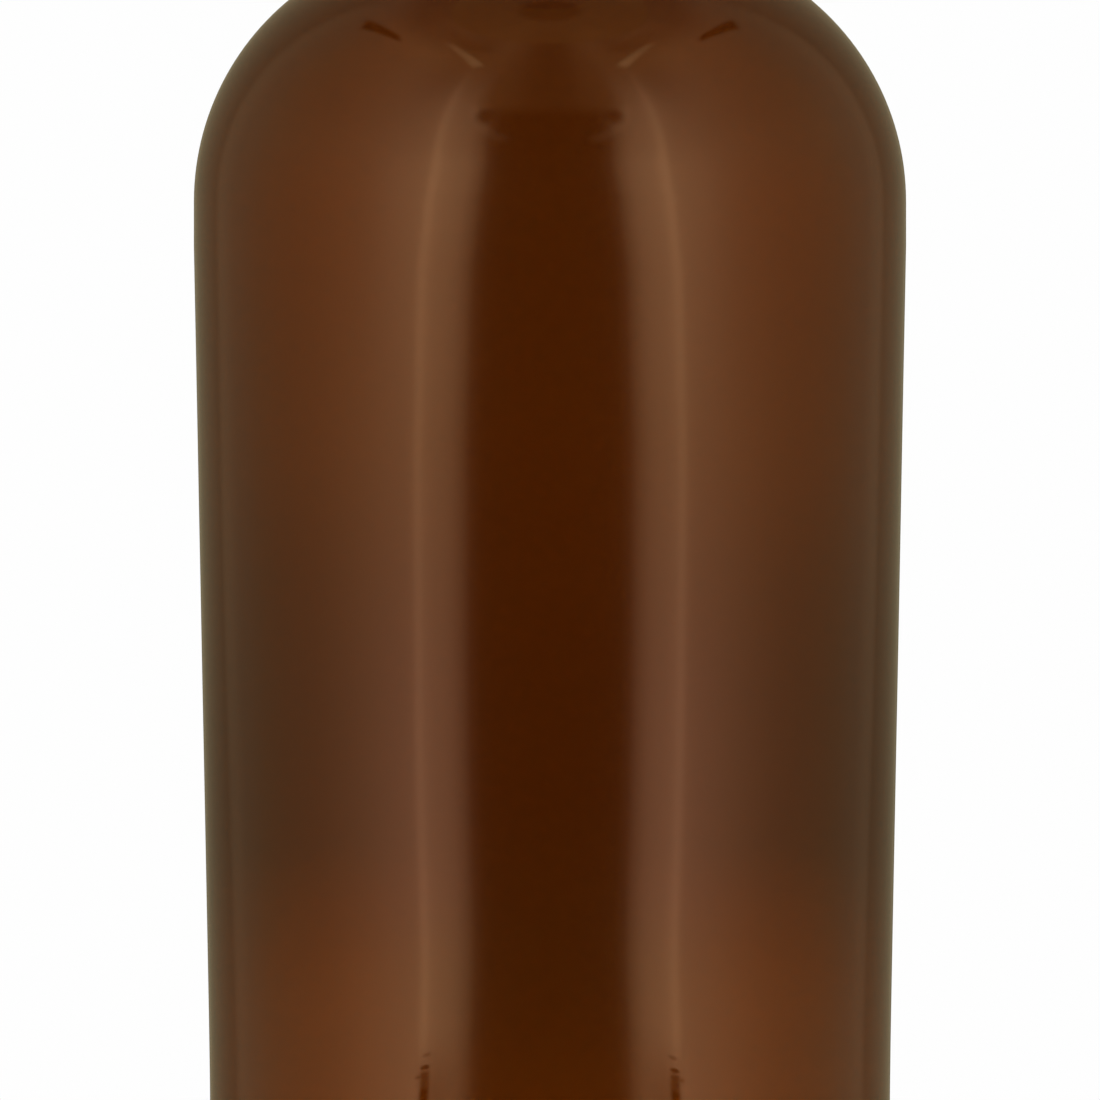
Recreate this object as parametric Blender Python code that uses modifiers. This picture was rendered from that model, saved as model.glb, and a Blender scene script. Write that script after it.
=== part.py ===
"""A full, shut whisky bottle of dark amber glass, with its whisky, cork and wooden stopper top.

Every piece is turned about the Z axis, which is the bottle's own axis. The origin is at the centre
of the base, on the surface that the bottle stands on. Units are metres, +Z up.
"""
import math

import bpy

# Driving dimensions of the outside
BODY_RADIUS = 0.0425          # widest level, where the shoulder starts to turn in
SHOULDER_HEIGHT = 0.1430      # height of that level
SHOULDER_ARC = 0.0313         # radius of the round shoulder, seen from the side
BAND_LENGTH = 0.0053          # straight full-width band just under the shoulder
TAPER_LENGTH = 0.0903         # below the band the body narrows evenly
TAPER_DEG = 1.12              # lean of that wall from upright
BLEND_LENGTH = 0.0240         # the lean dies out over this length
HEEL_RADIUS = 0.0070
NECK_RADIUS = 0.0150          # neck at its foot
NECK_FILLET = 0.0120          # hollow curve between shoulder and neck
NECK_TOP_RADIUS = 0.0138      # neck just under the lip ring
BOTTLE_HEIGHT = 0.2500        # glass alone, up to the lip

# Lip ring around the mouth
RING_RADIUS = 0.0150
RING_HEIGHT = 0.0110
RING_TOP_ROUND = 0.0018
RING_FOOT_ROUND = 0.0010

# Base: a flat bearing ring around a hollow
BEARING_WIDTH = 0.0030
PUNT_LIP = 0.0015             # round edge between the bearing ring and the hollow
PUNT_DEPTH = 0.0075

# Inside of the glass
WALL = 0.0037
BASE_THICKNESS = 0.0060
INNER_HEEL = 0.0090
BORE_RADIUS = 0.0094          # straight bore for the cork
BORE_LENGTH = 0.0240
MOUTH_ROUND = 0.0008

# Contents and closure
FILL_VOLUME = 0.7e-3          # cubic metres of whisky
GAP = 0.0003                  # left between pieces that touch
CORK_LENGTH = 0.0200
CORK_CHAMFER = 0.0012
TOP_RADIUS = 0.0150
TOP_HEIGHT = 0.0150
TOP_ROUND = 0.0016
TOP_GROOVE_HEIGHT = 0.0035    # height of the turned groove's middle above the top's underside
TOP_GROOVE_HALF = 0.0008
TOP_GROOVE_DEPTH = 0.0006

SIDES = 56                    # flats around each turned piece
SMOOTH_BELOW_DEG = 35.0

# Values that follow from the dimensions above
ARC_CENTRE = BODY_RADIUS - SHOULDER_ARC
FILLET_CENTRE = NECK_RADIUS + NECK_FILLET
FILLET_RISE = math.sqrt((SHOULDER_ARC + NECK_FILLET) ** 2 - (FILLET_CENTRE - ARC_CENTRE) ** 2)
FILLET_HEIGHT = SHOULDER_HEIGHT + FILLET_RISE
TOUCH_DEG = math.degrees(math.atan2(FILLET_RISE, FILLET_CENTRE - ARC_CENTRE))
LEAN = math.tan(math.radians(TAPER_DEG))
TAPER_TOP = SHOULDER_HEIGHT - BAND_LENGTH
BLEND_TOP = TAPER_TOP - TAPER_LENGTH
BLEND_FOOT = BLEND_TOP - BLEND_LENGTH
FOOT_RADIUS = BODY_RADIUS - LEAN * (TAPER_LENGTH + BLEND_LENGTH / 2)
BEARING_OUTER = FOOT_RADIUS - HEEL_RADIUS
BEARING_INNER = BEARING_OUTER - BEARING_WIDTH


def arc(centre_r, centre_z, radius, start_deg, end_deg, steps):
    """Points of a circular arc in the (r, z) plane, both ends included."""
    points = []
    for i in range(steps + 1):
        angle = math.radians(start_deg + (end_deg - start_deg) * i / steps)
        points.append((centre_r + radius * math.cos(angle), centre_z + radius * math.sin(angle)))
    return points


def body_side(inset, steps):
    """The body's wall from the shoulder down to the end of the blend, moved in by inset."""
    points = [(BODY_RADIUS - inset, TAPER_TOP)]
    blend_top_radius = BODY_RADIUS - LEAN * TAPER_LENGTH
    for i in range(steps + 1):
        down = BLEND_LENGTH * i / steps
        radius = blend_top_radius - LEAN * (down - down ** 2 / (2 * BLEND_LENGTH))
        points.append((radius - inset, BLEND_TOP - down))
    return points


def dome(edge_r, edge_z, rise, steps):
    """A shallow spherical dome from its edge to its crown on the axis."""
    radius = (edge_r ** 2 + rise ** 2) / (2 * rise)
    half_angle = math.degrees(math.asin(edge_r / radius))
    points = arc(0.0, edge_z + rise - radius, radius, 90 - half_angle, 90, steps)
    points[-1] = (0.0, edge_z + rise)
    return points


def outside_profile():
    """The glass's outer side, from the lip down and round to the middle of the base."""
    ring_foot = BOTTLE_HEIGHT - RING_HEIGHT
    ring_corner = RING_RADIUS - RING_FOOT_ROUND
    points = arc(RING_RADIUS - RING_TOP_ROUND, BOTTLE_HEIGHT - RING_TOP_ROUND, RING_TOP_ROUND, 90, 0, 4)
    points += arc(ring_corner, ring_foot + RING_FOOT_ROUND, RING_FOOT_ROUND, 0, -90, 3)
    points.append((NECK_TOP_RADIUS, ring_foot - RING_FOOT_ROUND / 2))
    points += arc(FILLET_CENTRE, FILLET_HEIGHT, NECK_FILLET, 180, 180 + TOUCH_DEG, 7)
    points += arc(ARC_CENTRE, SHOULDER_HEIGHT, SHOULDER_ARC, TOUCH_DEG, 0, 11)[1:]
    points += body_side(0.0, 4)
    points += arc(BEARING_OUTER, HEEL_RADIUS, HEEL_RADIUS, 0, -90, 5)
    points += arc(BEARING_INNER, PUNT_LIP, PUNT_LIP, -90, -180, 2)
    points += dome(BEARING_INNER - PUNT_LIP, PUNT_LIP, PUNT_DEPTH - PUNT_LIP, 5)[1:]
    return points


def hollow_profile(inset):
    """The glass's inner side from the middle of the floor to the foot of the cork's bore.

    With inset equal to the wall it is the hollow, and with a little more it is what fills the hollow.
    """
    side = body_side(inset, 4)
    clearance = inset - WALL
    inner_heel = INNER_HEEL - clearance
    floor_edge = side[-1][0] - inner_heel
    floor = BASE_THICKNESS + clearance
    crown = dome(floor_edge, floor, PUNT_DEPTH, 5)
    points = crown[::-1]
    points += arc(floor_edge, floor + inner_heel, inner_heel, -90, 0, 4)[1:]
    points += side[::-1]
    points += arc(ARC_CENTRE, SHOULDER_HEIGHT, SHOULDER_ARC - inset, 0, TOUCH_DEG, 9)
    points += arc(FILLET_CENTRE, FILLET_HEIGHT, NECK_FILLET + inset, 180 + TOUCH_DEG, 180, 5)[1:]
    points.append((BORE_RADIUS - clearance, BOTTLE_HEIGHT - BORE_LENGTH))
    return points


def level_of(volume, hollow):
    """The height at which the hollow holds the given volume, summed up cone slice by cone slice."""
    held = 0.0
    for (r1, z1), (r2, z2) in zip(hollow, hollow[1:]):
        slice_volume = math.pi / 3 * (r1 * r1 + r1 * r2 + r2 * r2) * (z2 - z1)
        if held + slice_volume > volume:
            return z1 + (z2 - z1) * (volume - held) / slice_volume
        held += slice_volume
    raise ValueError("the hollow holds less than that volume")


def cut_at(level, points):
    """The rising profile cut off level at the given height."""
    kept = [point for point in points if point[1] < level]
    (r1, z1), (r2, z2) = points[len(kept) - 1:len(kept) + 1]
    return kept + [(r1 + (r2 - r1) * (level - z1) / (z2 - z1), level)]


def material(name, colour, roughness, transmission=0.0):
    """A plain Principled material."""
    made = bpy.data.materials.new(name)
    made.use_nodes = True
    shader = made.node_tree.nodes["Principled BSDF"]
    shader.inputs["Base Color"].default_value = (*colour, 1.0)
    shader.inputs["Roughness"].default_value = roughness
    shader.inputs["Metallic"].default_value = 0.0
    shader.inputs["Transmission Weight"].default_value = transmission
    made.diffuse_color = (*colour, 1.0)
    return made


def turned(name, points, finish, collection):
    """A solid of revolution: the profile, given from the top down its outer side, and a Screw."""
    mesh = bpy.data.meshes.new(name)
    edges = [(i, i + 1) for i in range(len(points) - 1)]
    mesh.from_pydata([(r, 0.0, z) for r, z in points], edges, [])
    piece = bpy.data.objects.new(name, mesh)
    collection.objects.link(piece)
    mesh.materials.append(finish)
    screw = piece.modifiers.new("turn", "SCREW")
    screw.axis = "Z"
    screw.angle = math.radians(360)
    screw.steps = SIDES
    screw.render_steps = SIDES
    screw.use_merge_vertices = True
    screw.merge_threshold = 0.00002
    screw.use_smooth_shade = True
    return piece


def smooth_by_angle(piece):
    """Turns the screwed profile into its mesh, then shades it smooth except along real edges."""
    evaluated = piece.evaluated_get(bpy.context.evaluated_depsgraph_get())
    mesh = bpy.data.meshes.new_from_object(evaluated)
    mesh.name = piece.name
    piece.modifiers.clear()
    piece.data = mesh
    mesh.shade_smooth()
    mesh.set_sharp_from_angle(angle=math.radians(SMOOTH_BELOW_DEG))


def make_glass(collection):
    """The bottle itself: one wall all round, open only at the mouth."""
    hollow = hollow_profile(WALL)
    mouth = arc(BORE_RADIUS + MOUTH_ROUND, BOTTLE_HEIGHT - MOUTH_ROUND, MOUTH_ROUND, 180, 90, 2)
    profile = hollow + mouth + outside_profile()
    amber = material("amber_glass", (0.20, 0.07, 0.01), 0.03, transmission=1.0)
    return turned("glass", profile, amber, collection)


def make_whisky(collection):
    """What the bottle holds, a gap clear of the glass and filled to its volume."""
    level = level_of(FILL_VOLUME, hollow_profile(WALL))
    profile = [(0.0, level)] + cut_at(level, hollow_profile(WALL + GAP))[::-1]
    gold = material("whisky", (0.55, 0.24, 0.04), 0.0, transmission=1.0)
    print("whisky level", round(level * 1000, 1), "mm above the base")
    return turned("whisky", profile, gold, collection)


def make_cork(collection):
    """The plain cork shank in the bore."""
    radius = BORE_RADIUS - GAP
    foot = BOTTLE_HEIGHT - CORK_LENGTH
    profile = [
        (0.0, BOTTLE_HEIGHT),
        (radius, BOTTLE_HEIGHT),
        (radius, foot + CORK_CHAMFER),
        (radius - CORK_CHAMFER, foot),
        (0.0, foot),
    ]
    return turned("cork", profile, material("cork", (0.55, 0.38, 0.22), 0.9), collection)


def make_top(collection):
    """The turned wooden top on the cork, with a rounded edge above and a groove near its foot."""
    foot = BOTTLE_HEIGHT + GAP
    crown = foot + TOP_HEIGHT
    groove = foot + TOP_GROOVE_HEIGHT
    profile = [(0.0, crown)]
    profile += arc(TOP_RADIUS - TOP_ROUND, crown - TOP_ROUND, TOP_ROUND, 90, 0, 4)
    profile += [
        (TOP_RADIUS, groove + TOP_GROOVE_HALF),
        (TOP_RADIUS - TOP_GROOVE_DEPTH, groove),
        (TOP_RADIUS, groove - TOP_GROOVE_HALF),
        (TOP_RADIUS, foot + TOP_ROUND / 2),
        (TOP_RADIUS - TOP_ROUND / 2, foot),
        (0.0, foot),
    ]
    return turned("stopper_top", profile, material("dark_wood", (0.07, 0.035, 0.02), 0.5), collection)


def main():
    for old in list(bpy.data.objects):
        bpy.data.objects.remove(old, do_unlink=True)
    collection = bpy.data.collections.new("whisky_bottle")
    bpy.context.scene.collection.children.link(collection)
    for make_piece in (make_glass, make_whisky, make_cork, make_top):
        smooth_by_angle(make_piece(collection))


main()
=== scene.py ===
# %% [markdown]
# # A full whisky bottle of dark amber glass
#
# This lesson dresses a bottle whose solid pieces already exist: the glass, the whisky, the cork and the
# stopper's wooden top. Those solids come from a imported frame, and they set every size and place. Here each
# of them gets a finer mesh and a finish, and then the studio is built: a pale floor, soft light, and the
# things that glass needs to reflect, because glass shows little but its surroundings.

# %% Load the frame
import math

import bmesh
import bpy
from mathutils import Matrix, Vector


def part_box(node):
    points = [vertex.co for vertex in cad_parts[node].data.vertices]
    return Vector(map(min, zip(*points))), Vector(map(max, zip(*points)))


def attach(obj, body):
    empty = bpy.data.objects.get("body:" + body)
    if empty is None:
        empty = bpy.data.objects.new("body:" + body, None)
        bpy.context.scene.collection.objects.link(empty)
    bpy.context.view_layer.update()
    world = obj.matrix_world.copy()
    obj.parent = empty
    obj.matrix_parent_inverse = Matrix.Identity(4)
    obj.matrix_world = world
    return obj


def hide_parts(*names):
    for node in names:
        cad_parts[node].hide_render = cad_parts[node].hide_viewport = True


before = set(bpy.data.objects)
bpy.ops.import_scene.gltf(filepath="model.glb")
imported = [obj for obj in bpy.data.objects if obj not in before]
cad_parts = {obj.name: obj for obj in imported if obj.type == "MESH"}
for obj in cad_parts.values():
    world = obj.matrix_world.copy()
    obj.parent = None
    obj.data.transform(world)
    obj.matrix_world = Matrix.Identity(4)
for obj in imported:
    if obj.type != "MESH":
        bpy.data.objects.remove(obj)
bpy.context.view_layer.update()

# %% [markdown]
# ## Sizes
#
# What the frame can say is read from it: the width and height of the bottle, the level of the whisky and
# the place of the cork and its top. The rest of the bottle's outline is a few arcs and straight runs, and
# their radii and heights are named here, in metres, once.

# %% Sizes
BODY_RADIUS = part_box("glass")[1].x
BOTTLE_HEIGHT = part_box("glass")[1].z
WHISKY_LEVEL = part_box("whisky")[1].z
CORK_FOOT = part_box("cork")[0].z
CORK_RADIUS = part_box("cork")[1].x
TOP_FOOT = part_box("stopper_top")[0].z
TOP_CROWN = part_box("stopper_top")[1].z
TOP_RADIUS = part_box("stopper_top")[1].x

SHOULDER_HEIGHT = 0.1430
SHOULDER_ARC = 0.0313
BAND_LENGTH = 0.0053
TAPER_LENGTH = 0.0903
TAPER_DEG = 1.12
BLEND_LENGTH = 0.0240
HEEL_RADIUS = 0.0070
NECK_RADIUS = 0.0150
NECK_FILLET = 0.0120
NECK_TOP_RADIUS = 0.0138
RING_RADIUS = 0.0150
RING_HEIGHT = 0.0110
RING_TOP_ROUND = 0.0018
RING_FOOT_ROUND = 0.0010
BEARING_WIDTH = 0.0030
PUNT_LIP = 0.0015
PUNT_DEPTH = 0.0075
WALL = 0.0037
BASE_THICKNESS = 0.0060
INNER_HEEL = 0.0090
BORE_RADIUS = 0.0094
BORE_LENGTH = 0.0240
MOUTH_ROUND = 0.0008

ARC_CENTRE = BODY_RADIUS - SHOULDER_ARC
FILLET_CENTRE = NECK_RADIUS + NECK_FILLET
FILLET_RISE = math.sqrt((SHOULDER_ARC + NECK_FILLET) ** 2 - (FILLET_CENTRE - ARC_CENTRE) ** 2)
FILLET_HEIGHT = SHOULDER_HEIGHT + FILLET_RISE
TOUCH_DEG = math.degrees(math.atan2(FILLET_RISE, FILLET_CENTRE - ARC_CENTRE))
LEAN = math.tan(math.radians(TAPER_DEG))
TAPER_TOP = SHOULDER_HEIGHT - BAND_LENGTH
BLEND_TOP = TAPER_TOP - TAPER_LENGTH
FOOT_RADIUS = BODY_RADIUS - LEAN * (TAPER_LENGTH + BLEND_LENGTH / 2)
BEARING_OUTER = FOOT_RADIUS - HEEL_RADIUS
BEARING_INNER = BEARING_OUTER - BEARING_WIDTH
RING_FOOT = BOTTLE_HEIGHT - RING_HEIGHT
print("body", round(BODY_RADIUS * 2000, 1), "mm wide, whisky up to", round(WHISKY_LEVEL * 1000, 1), "mm")

# %% [markdown]
# ## The camera
#
# The picture is a close view of the shoulder and the upper body, level with the middle of what it shows.
# A long lens far away keeps the bottle's sides as upright as the picture has them. The picture's rows tell
# the height: one pixel is the body's radius divided by its radius in pixels.

# %% Camera
PICTURE_SIDE = 1100
RADIUS_PX = 355.3
SHOULDER_ROW = 201.0
MIDDLE_ROW = 549.5
CAMERA_DISTANCE = 2.0
SENSOR = 36.0

pixel = BODY_RADIUS / RADIUS_PX
camera_data = bpy.data.cameras.new("camera")
camera_data.sensor_width = SENSOR
camera_data.lens = SENSOR * CAMERA_DISTANCE / (PICTURE_SIDE * pixel)
camera = bpy.data.objects.new("camera", camera_data)
camera_height = SHOULDER_HEIGHT - (MIDDLE_ROW - SHOULDER_ROW) * pixel
camera.location = (0.0, -CAMERA_DISTANCE, camera_height)
camera.rotation_euler = (math.radians(90), 0.0, 0.0)
bpy.context.scene.collection.objects.link(camera)
bpy.context.scene.camera = camera
print("one pixel is", round(pixel * 1000, 4), "mm, camera at height", round(camera_height, 4), "m")

# %% [markdown]
# ## Outlines
#
# A bottle is turned: one outline, carried round the axis, gives the whole surface. The outline is a list of
# points (radius, height), made from arcs so that no point has to be typed. It runs from the middle of the
# floor inside, up the inner wall, over the lip and down the outer side to the middle of the base.

# %% Outline helpers
def arc(centre_r, centre_z, radius, start_deg, end_deg, steps):
    """Points of a circular arc in the (r, z) plane, both ends included."""
    angles = [math.radians(start_deg + (end_deg - start_deg) * i / steps) for i in range(steps + 1)]
    return [(centre_r + radius * math.cos(a), centre_z + radius * math.sin(a)) for a in angles]


def straight(start, end, steps):
    """Points along a straight run, without its first point."""
    shares = [(i + 1) / steps for i in range(steps)]
    return [(start[0] + (end[0] - start[0]) * s, start[1] + (end[1] - start[1]) * s) for s in shares]


def dome(edge_r, edge_z, rise, steps):
    """A shallow round dome from its edge to its crown on the axis."""
    radius = (edge_r ** 2 + rise ** 2) / (2 * rise)
    half_angle = math.degrees(math.asin(edge_r / radius))
    points = arc(0.0, edge_z + rise - radius, radius, 90 - half_angle, 90, steps)
    return points[:-1] + [(0.0, edge_z + rise)]


def body_side(inset, taper_steps, blend_steps):
    """The body's wall from the shoulder down to where it stands upright, moved in by inset."""
    top = (BODY_RADIUS - inset, TAPER_TOP)
    foot = (BODY_RADIUS - LEAN * TAPER_LENGTH - inset, BLEND_TOP)
    points = [top] + straight(top, foot, taper_steps)
    for i in range(1, blend_steps + 1):
        down = BLEND_LENGTH * i / blend_steps
        radius = foot[0] - LEAN * (down - down ** 2 / (2 * BLEND_LENGTH))
        points.append((radius, BLEND_TOP - down))
    return points


def inner_outline(inset):
    """The inner side, from the middle of the floor up to the foot of the cork's bore."""
    side = body_side(inset, 16, 6)
    clearance = inset - WALL
    heel = INNER_HEEL - clearance
    edge = side[-1][0] - heel
    floor = BASE_THICKNESS + clearance
    points = dome(edge, floor, PUNT_DEPTH, 14)[::-1]
    points += arc(edge, floor + heel, heel, -90, 0, 8)[1:]
    points += straight(points[-1], side[-1], 2)[:-1]
    points += side[::-1]
    points += arc(ARC_CENTRE, SHOULDER_HEIGHT, SHOULDER_ARC - inset, 0, TOUCH_DEG, 20)
    points += arc(FILLET_CENTRE, FILLET_HEIGHT, NECK_FILLET + inset, 180 + TOUCH_DEG, 180, 10)[1:]
    bore_foot = (BORE_RADIUS - clearance, BOTTLE_HEIGHT - BORE_LENGTH)
    return points + straight(points[-1], bore_foot, 6)


def outer_outline():
    """The outer side, from the lip down to the middle of the base."""
    ring_corner = RING_RADIUS - RING_FOOT_ROUND
    points = arc(RING_RADIUS - RING_TOP_ROUND, BOTTLE_HEIGHT - RING_TOP_ROUND, RING_TOP_ROUND, 90, 0, 8)
    points += arc(ring_corner, RING_FOOT + RING_FOOT_ROUND, RING_FOOT_ROUND, 0, -90, 5)
    points.append((NECK_TOP_RADIUS, RING_FOOT - RING_FOOT_ROUND / 2))
    points += straight(points[-1], (NECK_RADIUS, FILLET_HEIGHT), 10)[:-1]
    points += arc(FILLET_CENTRE, FILLET_HEIGHT, NECK_FILLET, 180, 180 + TOUCH_DEG, 16)
    points += arc(ARC_CENTRE, SHOULDER_HEIGHT, SHOULDER_ARC, TOUCH_DEG, 0, 36)[1:]
    points += body_side(0.0, 26, 10)
    points += arc(BEARING_OUTER, HEEL_RADIUS, HEEL_RADIUS, 0, -90, 12)
    points += arc(BEARING_INNER, PUNT_LIP, PUNT_LIP, -90, -180, 5)
    points += dome(BEARING_INNER - PUNT_LIP, PUNT_LIP, PUNT_DEPTH - PUNT_LIP, 12)[1:]
    return points


def smooth_step(value, low, high):
    """0 below low, 1 above high, and a soft S between."""
    share = min(max((value - low) / (high - low), 0.0), 1.0)
    return share * share * (3 - 2 * share)


# %% [markdown]
# ## Turning with Geometry Nodes
#
# The Screw modifier could turn the outline, but Geometry Nodes can also do what a glassworks does to it.
# A grid with one row for each outline point and one column for each step round is bent into place: each
# row reads its radius and height from the outline by Sample Index. On the way the radius gets the mould's
# seam, a fine ridge on both sides, and the slow swell of blown glass, which makes reflections waver.

# %% Node helpers
def add(tree, kind, **settings):
    """A new node of that kind with some of its settings made."""
    node = tree.nodes.new(kind)
    for name, value in settings.items():
        setattr(node, name, value)
    return node


def feed(tree, value, socket):
    """Links the value into the socket, or sets it there if it is a plain number, colour or vector."""
    if isinstance(value, bpy.types.NodeSocket):
        tree.links.new(value, socket)
    else:
        socket.default_value = value


def maths(tree, operation, *values):
    """The result of a Math node."""
    node = add(tree, "ShaderNodeMath", operation=operation)
    for value, socket in zip(values, node.inputs):
        feed(tree, value, socket)
    return node.outputs[0]


def product(tree, first, *others):
    """The values multiplied together, one after the other."""
    for value in others:
        first = maths(tree, "MULTIPLY", first, value)
    return first


def point_at(tree, *parts):
    """A point from its x, y and z."""
    node = add(tree, "ShaderNodeCombineXYZ")
    for part, socket in zip(parts, node.inputs):
        feed(tree, part, socket)
    return node.outputs[0]


def set_input(modifier, name, value):
    """Sets one of a Geometry Nodes modifier's inputs, which are keyed by identifier."""
    for item in modifier.node_group.interface.items_tree:
        if item.item_type == "SOCKET" and item.in_out == "INPUT" and item.name == name:
            modifier[item.identifier] = value
            return
    raise KeyError(name)


# %% The turning group
SWELL_STRETCH = 0.6
WELD_DISTANCE = 0.000002
TURNING_INPUTS = (
    ("Steps Round", "NodeSocketInt", 320),
    ("Seam Crowding", "NodeSocketFloat", 0.0),
    ("Seam Height", "NodeSocketFloat", 0.0),
    ("Seam Width", "NodeSocketFloat", 0.0004),
    ("Swell Height", "NodeSocketFloat", 0.0),
    ("Swell Size", "NodeSocketFloat", 0.03),
    ("Finish", "NodeSocketMaterial", None),
)


def make_turning_group():
    """Geometry Nodes that turn an outline mesh into a closed skin."""
    tree = bpy.data.node_groups.new("turned_skin", "GeometryNodeTree")
    tree.interface.new_socket(name="Outline", in_out="INPUT", socket_type="NodeSocketGeometry")
    for name, kind, default in TURNING_INPUTS:
        socket = tree.interface.new_socket(name=name, in_out="INPUT", socket_type=kind)
        if default is not None:
            socket.default_value = default
    tree.interface.new_socket(name="Skin", in_out="OUTPUT", socket_type="NodeSocketGeometry")
    given = add(tree, "NodeGroupInput").outputs

    count = add(tree, "GeometryNodeAttributeDomainSize", component="MESH")
    tree.links.new(given["Outline"], count.inputs["Geometry"])
    columns = maths(tree, "ADD", given["Steps Round"], 1)
    grid = add(tree, "GeometryNodeMeshGrid")
    tree.links.new(count.outputs["Point Count"], grid.inputs["Vertices X"])
    tree.links.new(columns, grid.inputs["Vertices Y"])

    index = add(tree, "GeometryNodeInputIndex").outputs[0]
    row = maths(tree, "FLOOR", maths(tree, "DIVIDE", maths(tree, "ADD", index, 0.5), columns))
    column = maths(tree, "SUBTRACT", index, product(tree, row, columns))
    even = maths(tree, "DIVIDE", product(tree, column, 2 * math.pi), given["Steps Round"])
    crowd = product(tree, maths(tree, "SINE", product(tree, even, 2.0)), -0.5)
    angle = maths(tree, "ADD", even, product(tree, crowd, given["Seam Crowding"]))

    def read(attribute, kind):
        """The outline's attribute at this grid point's row."""
        sample = add(tree, "GeometryNodeSampleIndex", data_type=kind, domain="POINT")
        tree.links.new(given["Outline"], sample.inputs["Geometry"])
        tree.links.new(attribute, sample.inputs["Value"])
        tree.links.new(row, sample.inputs["Index"])
        return sample.outputs[0]

    def named(name):
        """The outline's weight of that name at this grid point's row."""
        node = add(tree, "GeometryNodeInputNamedAttribute", data_type="FLOAT")
        node.inputs["Name"].default_value = name
        return read(node.outputs[0], "FLOAT")

    place = add(tree, "ShaderNodeSeparateXYZ")
    tree.links.new(read(add(tree, "GeometryNodeInputPosition").outputs[0], "FLOAT_VECTOR"), place.inputs[0])
    radius, height = place.outputs["X"], place.outputs["Z"]
    cosine, sine = maths(tree, "COSINE", angle), maths(tree, "SINE", angle)

    across, along = product(tree, radius, cosine), product(tree, radius, sine)
    off_seam = maths(tree, "DIVIDE", along, given["Seam Width"])
    bell = maths(tree, "EXPONENT", product(tree, off_seam, off_seam, -1.0))
    seam = product(tree, bell, given["Seam Height"], named("seam"))

    noise = add(tree, "ShaderNodeTexNoise")
    noise_place = point_at(tree, across, along, product(tree, height, SWELL_STRETCH))
    tree.links.new(noise_place, noise.inputs["Vector"])
    tree.links.new(maths(tree, "DIVIDE", 1.0, given["Swell Size"]), noise.inputs["Scale"])
    noise.inputs["Detail"].default_value = 1.0
    centred = maths(tree, "SUBTRACT", noise.outputs[0], 0.5)
    swell = product(tree, centred, given["Swell Height"], named("swell"))

    full = maths(tree, "ADD", radius, maths(tree, "ADD", seam, swell))
    spread = point_at(tree, product(tree, full, cosine), product(tree, full, sine), height)
    bend = add(tree, "GeometryNodeSetPosition")
    tree.links.new(grid.outputs["Mesh"], bend.inputs["Geometry"])
    tree.links.new(spread, bend.inputs["Position"])
    weld = add(tree, "GeometryNodeMergeByDistance")
    weld.inputs["Distance"].default_value = WELD_DISTANCE
    tree.links.new(bend.outputs[0], weld.inputs["Geometry"])
    real = add(tree, "GeometryNodeRealizeInstances")
    tree.links.new(weld.outputs[0], real.inputs[0])
    paint = add(tree, "GeometryNodeSetMaterial")
    tree.links.new(real.outputs[0], paint.inputs["Geometry"])
    tree.links.new(given["Finish"], paint.inputs["Material"])
    tree.links.new(paint.outputs[0], add(tree, "NodeGroupOutput").inputs[0])
    return tree


turning = make_turning_group()
print("turning group has", len(turning.nodes), "nodes")

# %% From an outline to a finished mesh
SMOOTH_BELOW_DEG = 40.0
MERGE_DISTANCE = 0.000001


def plain_mesh(name, carrier):
    """The carrier's evaluated result as a plain, closed mesh object of that name; the carrier goes."""
    depsgraph = bpy.context.evaluated_depsgraph_get()
    mesh = bpy.data.meshes.new_from_object(carrier.evaluated_get(depsgraph))
    old = carrier.data
    bpy.data.objects.remove(carrier)
    bpy.data.meshes.remove(old)
    mesh.name = name
    work = bmesh.new()
    work.from_mesh(mesh)
    bmesh.ops.remove_doubles(work, verts=work.verts, dist=MERGE_DISTANCE)
    bmesh.ops.recalc_face_normals(work, faces=work.faces)
    open_edges = sum(1 for edge in work.edges if len(edge.link_faces) != 2)
    work.to_mesh(mesh)
    work.free()
    mesh.shade_smooth()
    mesh.set_sharp_from_angle(angle=math.radians(SMOOTH_BELOW_DEG))
    piece = bpy.data.objects.new(name, mesh)
    bpy.context.scene.collection.objects.link(piece)
    print(name, len(mesh.polygons), "faces,", open_edges, "open edges")
    return piece


def turned(name, outline, finish, weights=None, **inputs):
    """A closed skin turned from the outline; weights gives (seam, swell) for an outline point."""
    mesh = bpy.data.meshes.new(name + "_outline")
    mesh.from_pydata([(r, 0.0, z) for r, z in outline], [(i, i + 1) for i in range(len(outline) - 1)], [])
    found = [weights(i, point) if weights else (0.0, 0.0) for i, point in enumerate(outline)]
    for which, attribute in enumerate(("seam", "swell")):
        layer = mesh.attributes.new(attribute, "FLOAT", "POINT")
        layer.data.foreach_set("value", [pair[which] for pair in found])
    carrier = bpy.data.objects.new(name + "_carrier", mesh)
    bpy.context.scene.collection.objects.link(carrier)
    modifier = carrier.modifiers.new("turn", "NODES")
    modifier.node_group = turning
    set_input(modifier, "Finish", finish)
    for key, value in inputs.items():
        set_input(modifier, key.replace("_", " ").title(), value)
    return plain_mesh(name, carrier)


# %% [markdown]
# ## Glass
#
# Brown bottle glass takes light away as light goes through it, so part of the colour belongs in the volume:
# thick places get dark and thin ones stay warm. Volume Absorption does that. The rest is taken at the
# surface, through Base Color, which also leaves Cycles more of its samples for the mirrored light. A ray
# through the bottle crosses the glass surface four times, and each crossing takes the root of Base Color.

# %% Glass finish
def principled(name, **plain):
    """A new material and its Principled shader with plain values set on the named sockets."""
    made = bpy.data.materials.new(name)
    made.use_nodes = True
    shader = made.node_tree.nodes["Principled BSDF"]
    for key, value in plain.items():
        shader.inputs[key.replace("_", " ")].default_value = value
    return made, made.node_tree, shader


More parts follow.
